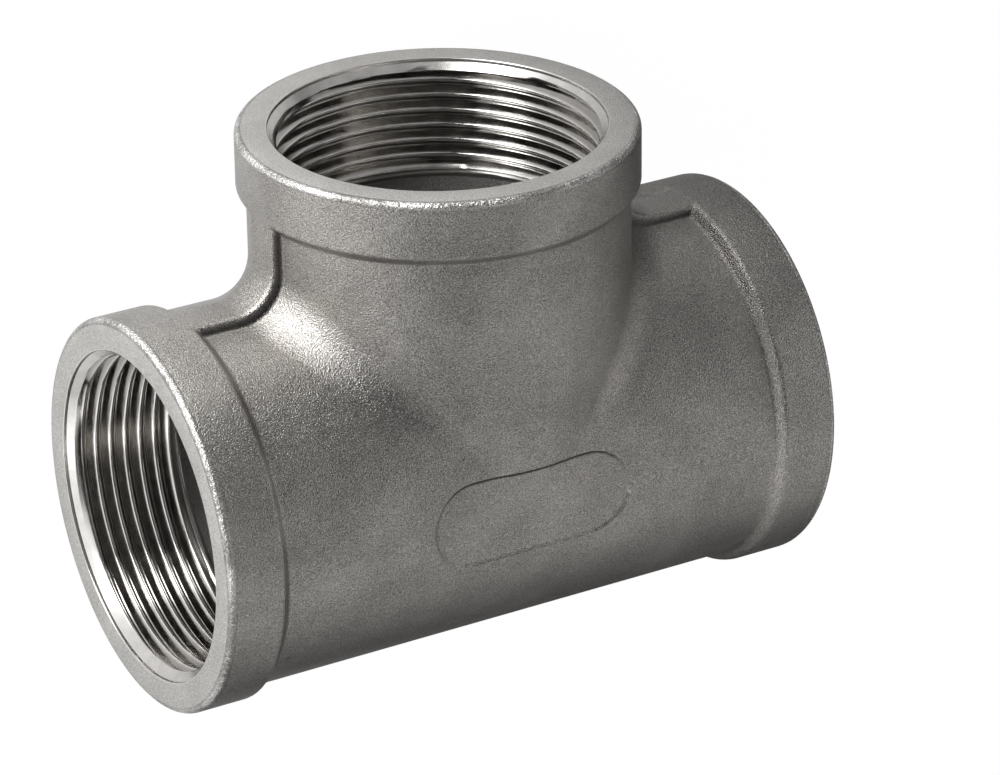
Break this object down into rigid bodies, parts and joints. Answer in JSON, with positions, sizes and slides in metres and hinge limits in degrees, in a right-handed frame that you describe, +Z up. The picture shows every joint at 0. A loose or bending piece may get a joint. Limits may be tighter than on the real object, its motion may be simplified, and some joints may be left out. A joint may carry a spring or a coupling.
{
  "type": "pipe tee",
  "caption": "Cast pipe tee with banded ends, crotch ribs and female threaded ports, for joining a branch pipe to a straight run.",
  "frame": {"origin": "on the surface that the tee lies on, under the middle of its bounding box; the axes of run and branch cross 10.125 mm to -Y of it, 28.25 mm up", "axes": "+X along the run, +Y out of the branch port, +Z up, out of the face with the oval marking recess"},
  "size_m": [0.097, 0.0768, 0.0565],
  "materials": {
    "cast_stainless": "bead-blasted cast skin with a fine sandy grain, bright machined threads and port faces"
  },
  "bodies": {
    "root": {"pipe_tee": "cast_stainless"}
  },
  "joints": []
}
